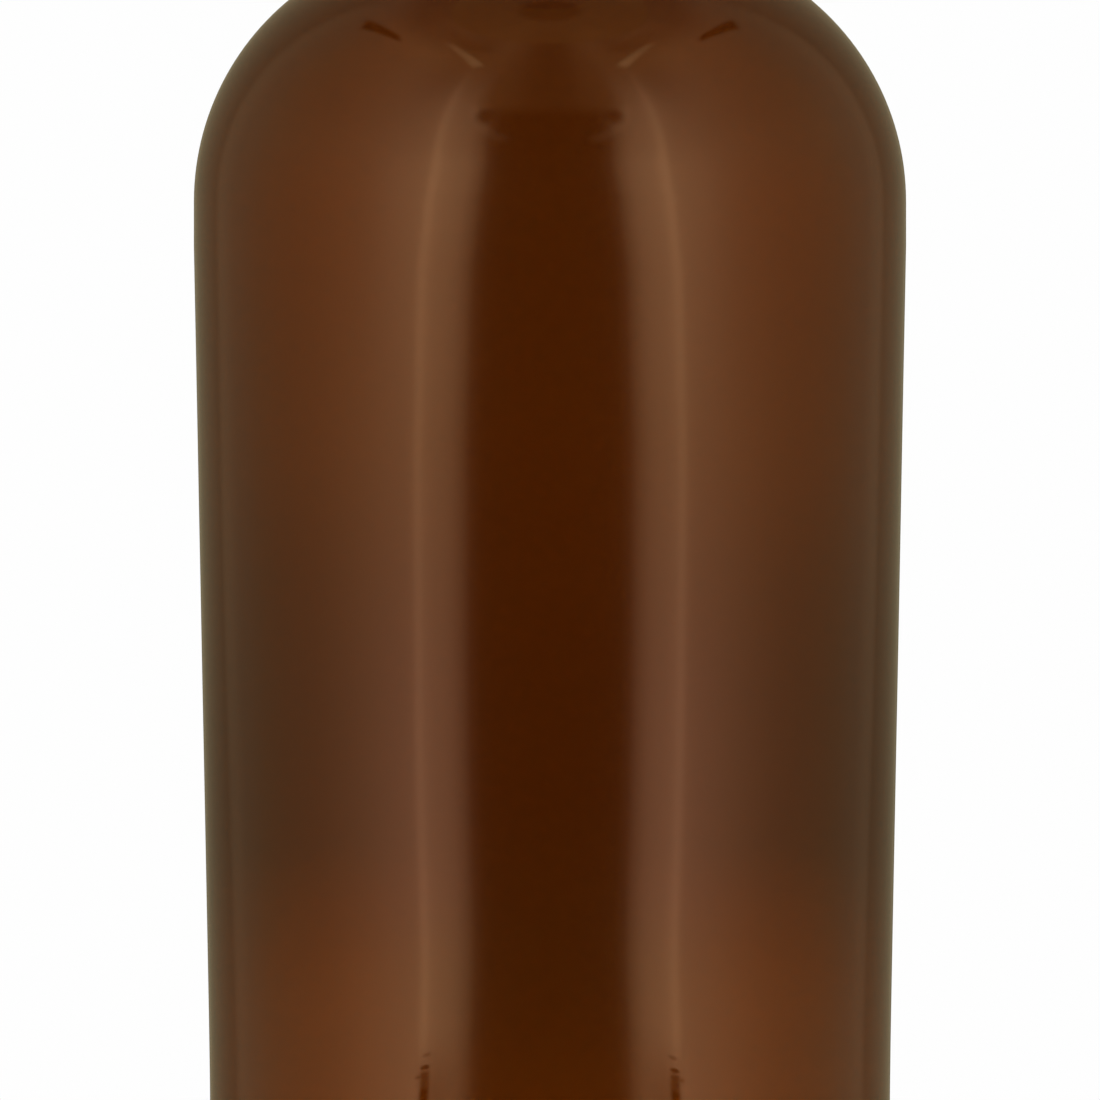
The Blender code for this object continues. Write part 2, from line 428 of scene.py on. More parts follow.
def object_noise(tree, scale, detail=3.0, stretch=(1.0, 1.0, 1.0)):
    """Noise in the piece's own coordinates, stretched along an axis if asked."""
    place = add(tree, "ShaderNodeTexCoord").outputs["Object"]
    mapping = add(tree, "ShaderNodeMapping")
    tree.links.new(place, mapping.inputs["Vector"])
    mapping.inputs["Scale"].default_value = stretch
    noise = add(tree, "ShaderNodeTexNoise")
    tree.links.new(mapping.outputs[0], noise.inputs["Vector"])
    noise.inputs["Scale"].default_value = scale
    noise.inputs["Detail"].default_value = detail
    return noise.outputs[0]


def ranged(tree, value, low, high, to_low, to_high, kind="LINEAR"):
    """Map Range from low..high to to_low..to_high, clamped."""
    node = add(tree, "ShaderNodeMapRange", interpolation_type=kind, clamp=True)
    for item, socket in zip((value, low, high, to_low, to_high), node.inputs):
        feed(tree, item, socket)
    return node.outputs[0]


def absorb(tree, colour, density):
    """Fills a piece with a clear, coloured medium."""
    medium = add(tree, "ShaderNodeVolumeAbsorption")
    medium.inputs["Color"].default_value = (*colour, 1.0)
    medium.inputs["Density"].default_value = density
    output = tree.nodes["Material Output"]
    tree.links.new(medium.outputs[0], output.inputs["Volume"])


GLASS_DEPTH = (2.12, 3.08, 5.50)      # what the two walls together take, as natural logarithms
SKIN_SHARE = 0.2                      # how much of that the surface takes
WALLS = 2 * WALL
GLASS_IOR = 1.5


def medium_for(depths, path):
    """The absorption colour and density that take these depths along that path."""
    density = max(depths) / path
    return [1 - depth / max(depths) for depth in depths], density


skin_colour = [math.exp(-SKIN_SHARE * depth / 2) for depth in GLASS_DEPTH]
glass_finish, glass_tree, _ = principled(
    "amber_glass",
    Base_Color=(*skin_colour, 1.0),
    Transmission_Weight=1.0,
    Roughness=0.0,
    IOR=GLASS_IOR,
)
absorb(glass_tree, *medium_for([(1 - SKIN_SHARE) * depth for depth in GLASS_DEPTH], WALLS))
print("the glass's surface lets through", [round(part, 3) for part in skin_colour])

# %% Glass piece
SEAM_FADE = 0.006
INNER_SWELL = -4.0                    # the wall's inner side swells more, and the other way


def glass_weights(first_outer):
    """Weights along the glass's outline: seam and swell on the outside, the swell alone inside."""
    def weigh(i, point):
        z = point[1]
        whole = smooth_step(z, HEEL_RADIUS, HEEL_RADIUS + SEAM_FADE)
        whole *= 1 - smooth_step(z, RING_FOOT - SEAM_FADE, RING_FOOT - RING_FOOT_ROUND)
        if i >= first_outer:
            return whole, whole
        return 0.0, INNER_SWELL * whole * (1 - smooth_step(z, FILLET_HEIGHT, FILLET_HEIGHT + 2 * SEAM_FADE))
    return weigh


inner = inner_outline(WALL)
mouth = arc(BORE_RADIUS + MOUTH_ROUND, BOTTLE_HEIGHT - MOUTH_ROUND, MOUTH_ROUND, 180, 90, 5)
outer = outer_outline()
glass = turned(
    "bottle_glass", inner + mouth + outer, glass_finish,
    weights=glass_weights(len(inner) + len(mouth)),
    steps_round=320, seam_crowding=0.35, seam_height=0.00010, seam_width=0.00035,
    swell_height=0.00005, swell_size=0.022,
)
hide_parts("glass")
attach(glass, "root")

# %% [markdown]
# ## Whisky
#
# A liquid in a glass has no surface of its own against the wall. Two skins with a gap between them would
# show a layer of air, so this piece reaches a little way into the wall. Its top is a free surface, and
# there the liquid climbs the glass by a millimetre or two.

# %% Whisky
WHISKY_DEPTH = (0.70, 1.60, 4.00)
WHISKY_IOR = 1.36
WHISKY_REACH = 0.0003
MENISCUS = 0.0018
FREE_STEPS = 16


def cut_at(level, points):
    """The rising outline cut off at the given height."""
    kept = [point for point in points if point[1] < level]
    (r1, z1), (r2, z2) = points[len(kept) - 1:len(kept) + 1]
    return kept + [(r1 + (r2 - r1) * (level - z1) / (z2 - z1), level)]


whisky_finish, whisky_tree, _ = principled(
    "whisky",
    Base_Color=(1.0, 1.0, 1.0, 1.0),
    Transmission_Weight=1.0,
    Roughness=0.0,
    IOR=WHISKY_IOR,
)
absorb(whisky_tree, *medium_for(WHISKY_DEPTH, 2 * (BODY_RADIUS - WALL)))

filled = cut_at(WHISKY_LEVEL, inner_outline(WALL - WHISKY_REACH))
edge_r = filled[-1][0]
free_radii = [edge_r * i / FREE_STEPS for i in range(FREE_STEPS)]
free = [(r, WHISKY_LEVEL - MENISCUS * (1 - math.exp(-(edge_r - r) / MENISCUS))) for r in free_radii]
whisky = turned("whisky_fill", filled + free[::-1], whisky_finish, steps_round=192)
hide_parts("whisky")
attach(whisky, "root")

# %% [markdown]
# ## Cork
#
# The shank of the stopper is cork, squeezed into the bore. It is turned like the glass, but its skin is
# uneven: the same swell, made fine and deep, gives the small pits of cut cork. Its colour is a pale tan
# with darker pores, which are the places where a fine noise is high.

# %% Cork finish
CORK_PALE = (0.50, 0.33, 0.19, 1.0)
CORK_DARK = (0.20, 0.105, 0.05, 1.0)
PORE_SCALE = 900.0
PORE_NOISE = (0.55, 0.68)
PORE_DEPTH = 0.0002
CLOUD_SCALE = PORE_SCALE / 6
CLOUD_SHARE = 0.45


def blend_colours(tree, share, first, second):
    """A colour between two, by a share from 0 to 1."""
    node = add(tree, "ShaderNodeMix", data_type="RGBA")
    feed(tree, share, node.inputs["Factor"])
    feed(tree, first, node.inputs[6])
    feed(tree, second, node.inputs[7])
    return node.outputs[2]


def mixed(tree, share, first, second):
    """A value between two, by a share from 0 to 1."""
    node = add(tree, "ShaderNodeMix", data_type="FLOAT")
    for item, socket in zip((share, first, second), (node.inputs[0], node.inputs[2], node.inputs[3])):
        feed(tree, item, socket)
    return node.outputs[0]


def bumped(tree, shader, height, distance, strength=0.6):
    """Fine relief from a height value."""
    node = add(tree, "ShaderNodeBump")
    node.inputs["Strength"].default_value = strength
    node.inputs["Distance"].default_value = distance
    tree.links.new(height, node.inputs["Height"])
    tree.links.new(node.outputs[0], shader.inputs["Normal"])


cork_finish, cork_tree, cork_shader = principled("cork", Roughness=0.85, Specular_IOR_Level=0.3)
pores = ranged(cork_tree, object_noise(cork_tree, PORE_SCALE, detail=4.0), *PORE_NOISE, 0.0, 1.0)
clouds = product(cork_tree, object_noise(cork_tree, CLOUD_SCALE), CLOUD_SHARE)
cork_share = maths(cork_tree, "MAXIMUM", pores, clouds)
cork_colour = blend_colours(cork_tree, cork_share, CORK_PALE, CORK_DARK)
feed(cork_tree, cork_colour, cork_shader.inputs["Base Color"])
bumped(cork_tree, cork_shader, maths(cork_tree, "SUBTRACT", 1.0, pores), PORE_DEPTH)
print("cork finish has", len(cork_tree.nodes), "nodes")

# %% Cork piece
CORK_CHAMFER = 0.0012
CORK_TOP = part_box("cork")[1].z
PIT_DEPTH = 0.0003


def rounded_plug(radius, foot, top, edge, rows):
    """The outline of a plug with rounded rims, from the middle of its foot to the middle of its top."""
    points = straight((0.0, foot), (radius - edge, foot), 8)
    points = [(0.0, foot)] + points + arc(radius - edge, foot + edge, edge, -90, 0, 6)[1:]
    points += straight(points[-1], (radius, top - edge), rows)
    points += arc(radius - edge, top - edge, edge, 0, 90, 6)[1:]
    return points + straight(points[-1], (0.0, top), 8)


def cork_weights(i, point):
    """The cork's pits are on its side and its ends, and fade towards the axis."""
    return 0.0, smooth_step(point[0], 0.0, CORK_RADIUS * 0.6)


cork_outline = rounded_plug(CORK_RADIUS - PIT_DEPTH / 2, CORK_FOOT, CORK_TOP, CORK_CHAMFER, 60)
cork = turned(
    "cork_shank", cork_outline, cork_finish,
    weights=cork_weights, steps_round=200, swell_height=PIT_DEPTH, swell_size=0.0016,
)
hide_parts("cork")
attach(cork, "root")

# %% [markdown]
# ## Stopper top
#
# The top of the stopper is a small turned knob of dark, oiled wood. A lathe leaves fine rings, so the
# outline of its side has a shallow wave. The knob is cut across a plank, so the grain runs level: the growth
# rings are circles round the middle of the tree, far below the knob, and appear as slow curves on its crown
# and its side. Fine noise that is stretched the same way gives the fibres between them.

# %% Wood finish
WOOD_PALE = (0.105, 0.050, 0.024, 1.0)
WOOD_DARK = (0.036, 0.016, 0.008, 1.0)
RING_PITCH = 0.0021
RING_WAVER = 5.0
ALONG_GRAIN = 0.12
TREE_MIDDLE = (0.0, 0.009, 0.021 - (TOP_FOOT + TOP_CROWN) / 2)
FIBRES_PER_METRE = 1500.0
FIBRE_DEPTH = 0.00010
FIBRE_STRENGTH = 0.3
LATE_SHARE = 0.4
WOOD_CONTRAST = (0.2, 0.75)
WOOD_ROUGHNESS = (0.45, 0.62)

wood_finish, wood_tree, wood_shader = principled("dark_wood", Specular_IOR_Level=0.35)
fibres = object_noise(wood_tree, FIBRES_PER_METRE, detail=4.0, stretch=(ALONG_GRAIN / 3, 1.0, 1.0))
place = add(wood_tree, "ShaderNodeTexCoord").outputs["Object"]
shift = add(wood_tree, "ShaderNodeMapping")
wood_tree.links.new(place, shift.inputs["Vector"])
shift.inputs["Location"].default_value = TREE_MIDDLE
shift.inputs["Scale"].default_value = (ALONG_GRAIN, 1.0, 1.0)
rings = add(wood_tree, "ShaderNodeTexWave", wave_type="RINGS", rings_direction="X")
wood_tree.links.new(shift.outputs[0], rings.inputs["Vector"])
rings.inputs["Scale"].default_value = math.pi / (10 * RING_PITCH)
rings.inputs["Distortion"].default_value = RING_WAVER
rings.inputs["Detail"].default_value = 2.0
late_wood = maths(wood_tree, "POWER", rings.outputs["Fac"], 2.0)
grain = mixed(wood_tree, LATE_SHARE, fibres, late_wood)
wood_share = ranged(wood_tree, grain, *WOOD_CONTRAST, 0.0, 1.0)
wood_colour = blend_colours(wood_tree, wood_share, WOOD_PALE, WOOD_DARK)
feed(wood_tree, wood_colour, wood_shader.inputs["Base Color"])
feed(wood_tree, ranged(wood_tree, fibres, 0.3, 0.7, *WOOD_ROUGHNESS), wood_shader.inputs["Roughness"])
bumped(wood_tree, wood_shader, fibres, FIBRE_DEPTH, FIBRE_STRENGTH)
print("wood finish has", len(wood_tree.nodes), "nodes")

# %% Stopper top piece
TOP_ROUND = 0.0016
TOP_GROOVE_HEIGHT = 0.0035
TOP_GROOVE_HALF = 0.0008
TOP_GROOVE_DEPTH = 0.0006
LATHE_PITCH = 0.0006
LATHE_DEPTH = 0.00002
SIDE_TOLERANCE = 0.00001


def top_outline():
    """The knob from the middle of its foot, up its grooved side with the lathe's rings, to its crown."""
    plain = rounded_plug(TOP_RADIUS, TOP_FOOT, TOP_CROWN, TOP_ROUND, 150)
    points = []
    for radius, z in plain:
        if radius > TOP_RADIUS - SIDE_TOLERANCE:
            off_groove = (z - TOP_FOOT - TOP_GROOVE_HEIGHT) / TOP_GROOVE_HALF
            radius -= TOP_GROOVE_DEPTH * math.sqrt(max(0.0, 1 - off_groove ** 2))
            radius -= LATHE_DEPTH * (0.5 - 0.5 * math.cos(2 * math.pi * (z - TOP_FOOT) / LATHE_PITCH))
        points.append((radius, z))
    return points


stopper_top = turned("stopper_knob", top_outline(), wood_finish, steps_round=160)
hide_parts("stopper_top")
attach(stopper_top, "root")

# %% [markdown]
# ## Studio light
#
# Glass shows what stands round it. In the picture that is a photographer's light tent: two bright bands
# left and right of a dark gap, where the camera looks in, then light that grows dim and warm towards the
# back. The tent here is a round wall half a metre from the bottle. Its material works out where on the
# wall a point lies, as an angle from the gap and a height, and shines accordingly. Mirrored rays see that
# pattern, and all other rays see plain white.
#
# Glass mirrors little face on and much at a grazing angle. The picture's mirrored light is warm where it is
# turned straight back and pale where it grazes, so the helpers below can warm a light by how far the glass
# turns it round.

# %% Light helpers
WHITE = 0.991
PLAIN_WHITE = (WHITE, WHITE, WHITE, 1.0)
SHEEN_TINT = (1.0, 0.55, 0.29, 1.0)
SHEEN_STEP_DEG = 10


def eased(tree, value, low, high, to_low, to_high):
    """Like ranged, with soft ends."""
    return ranged(tree, value, low, high, to_low, to_high, "SMOOTHSTEP")


def place_on(tree, coordinates):
    """The x, y and z of the shaded point in those coordinates."""
    parts = add(tree, "ShaderNodeSeparateXYZ")
    tree.links.new(add(tree, "ShaderNodeTexCoord").outputs[coordinates], parts.inputs[0])
    return parts.outputs["X"], parts.outputs["Y"], parts.outputs["Z"]


def light_finish(name):
    """A bare material for a lit stage shape, with its tree."""
    finish = bpy.data.materials.new(name)
    finish.use_nodes = True
    finish.cycles.emission_sampling = "NONE"
    finish.node_tree.nodes.clear()
    return finish, finish.node_tree


def give_light(tree, colour, strength):
    """Lets the bare material shine in that colour."""
    emission = add(tree, "ShaderNodeEmission")
    feed(tree, colour, emission.inputs["Color"])
    feed(tree, strength, emission.inputs["Strength"])
    output = add(tree, "ShaderNodeOutputMaterial")
    tree.links.new(emission.outputs[0], output.inputs["Surface"])


def degrees_off_front(tree, x, y):
    """The angle round the bottle, from 0 at the front to 180 at the back, the same on both sides."""
    turn = maths(tree, "ARCTAN2", maths(tree, "ABSOLUTE", x), product(tree, y, -1.0))
    return maths(tree, "DEGREES", turn)


def curve_of(tree, value, points):
    """A value that follows a list of points (input, output), with straight runs between them."""
    low, high = points[0][0], points[-1][0]
    peak = max(level for _, level in points)
    node = add(tree, "ShaderNodeValToRGB")
    tree.links.new(ranged(tree, value, low, high, 0.0, 1.0), node.inputs[0])
    stops = node.color_ramp.elements
    while len(stops) < len(points):
        stops.new(1.0)
    for stop, (where, level) in zip(stops, points):
        stop.position = (where - low) / (high - low)
        stop.color = (level / peak, level / peak, level / peak, 1.0)
    return product(tree, node.outputs[0], peak)


def tinted(tree, level, colour):
    """A colour scaled by a value."""
    node = add(tree, "ShaderNodeVectorMath", operation="SCALE")
    feed(tree, colour, node.inputs[0])
    tree.links.new(level, node.inputs["Scale"])
    return node.outputs[0]


def joined(tree, operation, first, second):
    """The sum or the product of two colours."""
    node = add(tree, "ShaderNodeVectorMath", operation=operation)
    feed(tree, first, node.inputs[0])
    feed(tree, second, node.inputs[1])
    return node.outputs[0]


def pale_share(turned_deg):
    """How far glass that mirrors light round by this angle is from its dull, face-on reflection."""
    cosine = math.cos(math.radians(turned_deg / 2))
    inner = math.sqrt(1 - (1 - cosine ** 2) / GLASS_IOR ** 2)
    across = ((cosine - GLASS_IOR * inner) / (cosine + GLASS_IOR * inner)) ** 2
    along = ((GLASS_IOR * cosine - inner) / (GLASS_IOR * cosine + inner)) ** 2
    mirrored_part = (across + along) / 2
    face_on = ((GLASS_IOR - 1) / (GLASS_IOR + 1)) ** 2
    return 1 - face_on / (1 - face_on) * (1 - mirrored_part) / mirrored_part


PALE_POINTS = [(deg, max(0.0, pale_share(deg))) for deg in range(0, 181, SHEEN_STEP_DEG)]


def warmed(tree, colour, front_cosine):
    """A mirrored colour, warmed where the glass turns the light back to the front, pale where it grazes."""
    turned_deg = maths(tree, "DEGREES", maths(tree, "ARCCOSINE", front_cosine))
    warmth = blend_colours(tree, curve_of(tree, turned_deg, PALE_POINTS), SHEEN_TINT, (1.0, 1.0, 1.0, 1.0))
    return joined(tree, "MULTIPLY", colour, warmth)


first_pale = min(deg for deg, pale in PALE_POINTS if pale > 0.5)
print("mirrored light is more pale than warm from a turn of", first_pale, "degrees")


# %% Patches of light
STREAK_EDGE = (0.5, 1.5)              # where a streak's side fades, in breadths
STREAK_END = (0.4, 0.6)               # where its ends fade, in lengths from its middle


def streak(tree, turn, up, start, end, breadth, bow):
    """1 on a bowed streak of the tent from start to end, each (degrees, height), fading at its edges."""
    runs = [maths(tree, "DIVIDE", maths(tree, "SUBTRACT", value, a), b - a)
            for value, a, b in zip((turn, up), start, end)]
    along = product(tree, maths(tree, "ADD", *runs), 0.5)
    from_middle = maths(tree, "SUBTRACT", along, 0.5)
    fall = product(tree, maths(tree, "POWER", from_middle, 2.0), 4 * bow)
    bowed = maths(tree, "SUBTRACT", bow, fall)
    beside = maths(tree, "ABSOLUTE", maths(tree, "ADD", maths(tree, "SUBTRACT", *runs), bowed))
    ends = maths(tree, "ABSOLUTE", from_middle)
    return product(tree, eased(tree, beside, *[breadth * edge for edge in STREAK_EDGE], 1.0, 0.0),
                   eased(tree, ends, *STREAK_END, 1.0, 0.0))


def spot(tree, across, up, centre, size, soft=0.5):
    """1 inside an oval round the centre, fading to 0 at its edge."""
    runs = [maths(tree, "DIVIDE", maths(tree, "SUBTRACT", value, middle), half)
            for value, middle, half in zip((across, up), centre, size)]
    squares = [product(tree, run, run) for run in runs]
    away = maths(tree, "SQRT", maths(tree, "ADD", *squares))
    return eased(tree, away, 1 - soft, 1 + soft, 1.0, 0.0)


# %% [markdown]
# ## The tent's bands and haze
#
# Lists of points say how bright the wall is round the bottle and how that changes with height. They come
# from the picture: its brightness was measured, the light that the tent needs for it was worked out, and
# those levels were rounded and adjusted over many test renders. High up, a paler haze takes over from the
# bands. A name that ends in RUN holds four numbers: while the input goes from the first to the second, the
# value goes from the third to the fourth. Turns are in degrees, and heights in metres above the floor.

# %% Brightness of the tent
# turn, brightness of the mirrored light half way up the bottle
BAND_LIGHT = (
    (0, 0.02), (10, 0.03), (18, 0.06), (22, 0.13), (25, 0.36), (28, 1.1), (31, 1.68), (34, 1.98), (37, 2.15),
    (40, 2.45), (41.2, 2.8), (42.6, 2.8), (44.5, 2.13), (47, 1.89), (50, 1.73), (55, 1.52), (60, 1.30),
    (66, 1.08), (72, 0.88), (80, 0.68), (88, 0.555), (96, 0.485), (104, 0.43), (112, 0.39), (120, 0.37),
    (127, 0.40), (131, 0.38), (135, 0.26), (180, 0.25),
)
# height, how many degrees the two bands stand nearer to each other there
BAND_SHIFT = (
    (0.0, 0.0), (0.0137, 0.0), (0.0167, 0.5), (0.0203, 1.3), (0.027, 1.25), (0.035, 1.0), (0.042, 0.5),
    (0.056, 0.0), (0.08, 0.0), (0.10, 0.0), (0.119, 1.4), (0.128, 2.3), (0.149, 3.9), (0.17, 5.2),
    (0.26, 6.0), (0.36, 5.4), (1.5, 5.4),
)
# the same for the back of the tent
BACK_SHIFT = ((0.0, 5.0), (0.03, 4.0), (0.05, 3.0), (0.07, 1.5), (0.1, 0.0), (1.5, 0.0))
# height, brightness there against half way up, for the bands, the sides and the back
BAND_HEIGHTS = (
    (0.0, 1.14), (0.0167, 1.17), (0.0203, 1.17), (0.027, 1.12), (0.035, 1.08), (0.042, 1.04), (0.056, 1.02),
    (0.078, 0.98), (0.10, 1.03), (0.119, 1.16), (0.149, 1.29), (0.17, 1.33), (0.26, 1.31), (0.33, 1.12),
    (0.42, 1.0), (0.49, 0.88), (0.58, 0.72), (0.70, 0.55), (1.0, 0.4), (1.5, 0.2),
)
SIDE_HEIGHTS = (
    (0.0, 1.2), (0.02, 1.18), (0.03, 1.03), (0.08, 1.0), (0.13, 0.98), (0.17, 1.05), (0.30, 1.12),
    (0.36, 1.08), (0.42, 1.02), (0.7, 1.0), (1.0, 0.9), (1.5, 0.6),
)
BACK_HEIGHTS = ((0.0, 1.1), (0.03, 1.0), (0.06, 0.93), (0.09, 0.98), (0.15, 1.0), (1.5, 1.0))
# turn, brightness of the haze
HAZE_LIGHT = (
    (0, 0.25), (8, 0.30), (14, 0.48), (18, 0.57), (25, 0.73), (31, 0.78), (43, 0.92), (55, 1.04), (66, 1.05),
    (80, 0.85), (88, 0.75), (100, 0.55), (120, 0.42), (140, 0.28), (180, 0.22),
)
# height, how rosy the front is there
ROSE_HEIGHTS = ((0.0, 0.0), (0.022, 0.0), (0.036, 1.0), (0.065, 1.0), (0.10, 0.0), (1.5, 0.0))
COOL_LIGHT = (1.0, 1.0, 0.93, 1.0)
ROSE_LIGHT = (1.035, 0.965, 1.0, 1.0)
SIDE_LIGHT = (1.0, 1.02, 0.70, 1.0)
WARM_LIGHT = (1.0, 0.84, 0.50, 1.0)
HAZE_COLOUR = (1.0, 0.86, 0.60)
NEAR_FRONT_RUN = (60.0, 100.0, 1.0, 0.0)
TO_SIDE_RUN = (44.0, 66.0, 0.0, 1.0)
TO_BACK_RUN = (112.0, 128.0, 0.0, 1.0)
SIDE_COLOUR_RUN = (50.0, 105.0, 0.0, 1.0)
BACK_COLOUR_RUN = (114.0, 134.0, 0.0, 1.0)
FOOT_SHADE_RUN = (0.0165, 0.0126, 0.0, 0.46)
FOOT_INNER_RUN = (30.0, 39.0, 0.45, 1.0)
FOOT_OUTER_RUN = (42.5, 45.0, 1.0, 0.0)
HIGH_FADE_RUN = (0.9, 1.15, 0.0, 0.42)
HIGH_SIDES_RUN = (28.0, 40.0, 0.0, 1.0)
TO_HAZE_RUN = (0.48, 1.0, 0.0, 1.0)
GAP_TOP_RUN = (0.46, 0.56, 0.0, 1.0)
GAP_SIDE_RUN = (18.0, 32.0, 1.0, 0.0)


def band_sheen(tree, turn, up):
    """The mirrored colour of the two bands and the sides and back of the tent."""
    near_front = ranged(tree, turn, *NEAR_FRONT_RUN)
    shift = mixed(tree, near_front, curve_of(tree, up, BACK_SHIFT), curve_of(tree, up, BAND_SHIFT))
    shape = curve_of(tree, maths(tree, "ADD", turn, shift), BAND_LIGHT)
    to_side = eased(tree, turn, *TO_SIDE_RUN)
    height = mixed(tree, to_side, curve_of(tree, up, BAND_HEIGHTS), curve_of(tree, up, SIDE_HEIGHTS))
    height = mixed(tree, ranged(tree, turn, *TO_BACK_RUN), height, curve_of(tree, up, BACK_HEIGHTS))
    foot_shade = product(tree, ranged(tree, turn, *FOOT_INNER_RUN), eased(tree, up, *FOOT_SHADE_RUN),
                         ranged(tree, turn, *FOOT_OUTER_RUN))
    level = product(tree, shape, height, maths(tree, "SUBTRACT", 1.0, foot_shade))
    front = blend_colours(tree, curve_of(tree, up, ROSE_HEIGHTS), COOL_LIGHT, ROSE_LIGHT)
    front = blend_colours(tree, ranged(tree, turn, *SIDE_COLOUR_RUN), front, SIDE_LIGHT)
    return tinted(tree, level, blend_colours(tree, ranged(tree, turn, *BACK_COLOUR_RUN), front, WARM_LIGHT))


def haze_sheen(tree, turn, up):
    """The mirrored colour of the haze high on the tent."""
    fade = product(tree, ranged(tree, up, *HIGH_FADE_RUN), ranged(tree, turn, *HIGH_SIDES_RUN))
    level = product(tree, curve_of(tree, turn, HAZE_LIGHT), maths(tree, "SUBTRACT", 1.0, fade))
    return tinted(tree, level, HAZE_COLOUR)


# %% Tent finish
tent_finish, tent_tree = light_finish("light_tent")
tent_x, tent_y, tent_up = place_on(tent_tree, "Object")
tent_turn = degrees_off_front(tent_tree, tent_x, tent_y)
on_tent = (tent_tree, tent_turn, tent_up)

in_gap = product(tent_tree, eased(tent_tree, tent_up, *GAP_TOP_RUN),
                 eased(tent_tree, tent_turn, *GAP_SIDE_RUN))
to_haze = maths(tent_tree, "MAXIMUM", eased(tent_tree, tent_up, *TO_HAZE_RUN), in_gap)
sheen = blend_colours(tent_tree, to_haze, band_sheen(*on_tent), haze_sheen(*on_tent))
print("bands and haze take", len(tent_tree.nodes), "nodes")

# %% [markdown]
# ## Lamp, rod, slit and stand
#
# A few small things show in the glass as mirrored shapes: a lamp with its lit rim, a thin rod, a slit with
# light behind it, and the dark edge of a stand near the foot. Each is a patch on the tent, made from the
# same two helpers, which adds light or blocks it. Since both sides of the tent are alike, the patches show
# left and right, as they do in the picture.

# %% Lamp, rod, slit and stand
# a streak: start and end as (turn, height), breadth, bow; a spot: centre and half size
LAMP_SPOT = ((22.8, 0.472), (3.0, 0.037))
LAMP_SOFT = 0.7
LAMP_SHADE = 0.85
LAMP_RIM = ((28.5, 0.54), (14.0, 0.36), 0.16, 0.32)
RIM_LEVEL = 0.22
RIM_TINT = (0.8, 1.0, 1.0)
ROD = ((116.9, 0.751), (89.7, 0.905), 0.21, 0.15)
ROD_AND_LAMP_SHADE = 0.85
SLIT = ((63.1, 1.111), (35.1, 0.869), 0.17, -0.12)
SLIT_LEVEL_RUN = (38.0, 63.0, 1.0, 0.3)
SLIT_TINT = (0.9, 1.0, 0.8)
SLIT_EDGE = ((72.0, 1.33), (40.0, 1.12), 0.45, 0.0)
SLIT_EDGE_SHADE = 0.18
STAND_TURN_RUN = (0.0132, 0.0124, 41.1, 41.5)
STAND_WIDTH_RUN = (0.5, 2.5, 1.0, 0.0)
STAND_LOW_RUN = (0.0131, 0.0128, 0.78, 0.97)
STAND_HIGH_RUN = (0.01400, 0.01384, 0.6, 1.0)
STAND_TOP_RUN = (0.01410, 0.01402, 0.0, 1.0)
# small marks on the stand's edge: centre, half size, how dark
STAND_MARKS = (
    ((41.0, 0.01421), (1.5, 0.00015), 0.85),
    ((40.3, 0.01490), (1.3, 0.00012), 0.4),
    ((43.3, 0.01372), (1.2, 0.00012), 0.5),
)


def stand_shade(tree, turn, up):
    """How much the stand's edge and the marks on it block."""
    off_middle = maths(tree, "ABSOLUTE", maths(tree, "SUBTRACT", turn, ranged(tree, up, *STAND_TURN_RUN)))
    depth = product(tree, ranged(tree, up, *STAND_LOW_RUN), ranged(tree, up, *STAND_HIGH_RUN),
                    eased(tree, up, *STAND_TOP_RUN))
    shade = product(tree, eased(tree, off_middle, *STAND_WIDTH_RUN), depth)
    for centre, size, dark in STAND_MARKS:
        mark = product(tree, spot(tree, turn, up, centre, size), dark)
        shade = maths(tree, "MAXIMUM", shade, mark)
    return shade


rim = product(tent_tree, streak(*on_tent, *LAMP_RIM), RIM_LEVEL)
slit = product(tent_tree, streak(*on_tent, *SLIT), ranged(tent_tree, tent_turn, *SLIT_LEVEL_RUN))
for patch, tint in ((rim, RIM_TINT), (slit, SLIT_TINT)):
    sheen = joined(tent_tree, "ADD", sheen, tinted(tent_tree, patch, tint))

lamp_dark = product(tent_tree, spot(*on_tent, *LAMP_SPOT, soft=LAMP_SOFT), LAMP_SHADE)
blocked = maths(tent_tree, "MAXIMUM", lamp_dark, streak(*on_tent, *ROD))
blocked = product(tent_tree, blocked, ROD_AND_LAMP_SHADE)
slit_edge = product(tent_tree, streak(*on_tent, *SLIT_EDGE), SLIT_EDGE_SHADE)
for shade in (stand_shade(*on_tent), slit_edge):
    blocked = maths(tent_tree, "MAXIMUM", blocked, shade)
sheen = tinted(tent_tree, maths(tent_tree, "SUBTRACT", 1.0, blocked), sheen)
print("with its small shapes the tent takes", len(tent_tree.nodes), "nodes")

# %% [markdown]
# ## The tent itself
#
# The pattern is warmed by the turn of the light and put on a plain upright wall, turned like the bottle's
# pieces. Light Path tells mirrored rays from the others. The wall is there for glass alone: the camera,
# plain surfaces and shadows don't meet it.

# %% Light tent
TENT_RADIUS = 0.5
TENT_FOOT = 0.001
TENT_HEIGHT = 1.5
BODY_MIDDLE = 0.1

above = maths(tent_tree, "SUBTRACT", tent_up, BODY_MIDDLE)
squares = maths(tent_tree, "ADD", product(tent_tree, above, above), TENT_RADIUS ** 2)
reach = maths(tent_tree, "SQRT", squares)
front_cosine = maths(tent_tree, "DIVIDE", product(tent_tree, tent_y, -1.0), reach)
mirrored = warmed(tent_tree, sheen, front_cosine)
mirror_ray = add(tent_tree, "ShaderNodeLightPath").outputs["Is Reflection Ray"]
give_light(tent_tree, blend_colours(tent_tree, mirror_ray, PLAIN_WHITE, mirrored), 1.0)


def only_for_glass(light_shape, mirror_rays, inner_rays):
    """Hides a lit stage shape from the camera, from plain surfaces and from shadows."""
    light_shape.visible_camera = False
    light_shape.visible_diffuse = False
    light_shape.visible_shadow = False
    light_shape.visible_volume_scatter = False
    light_shape.visible_glossy = mirror_rays
    light_shape.visible_transmission = inner_rays


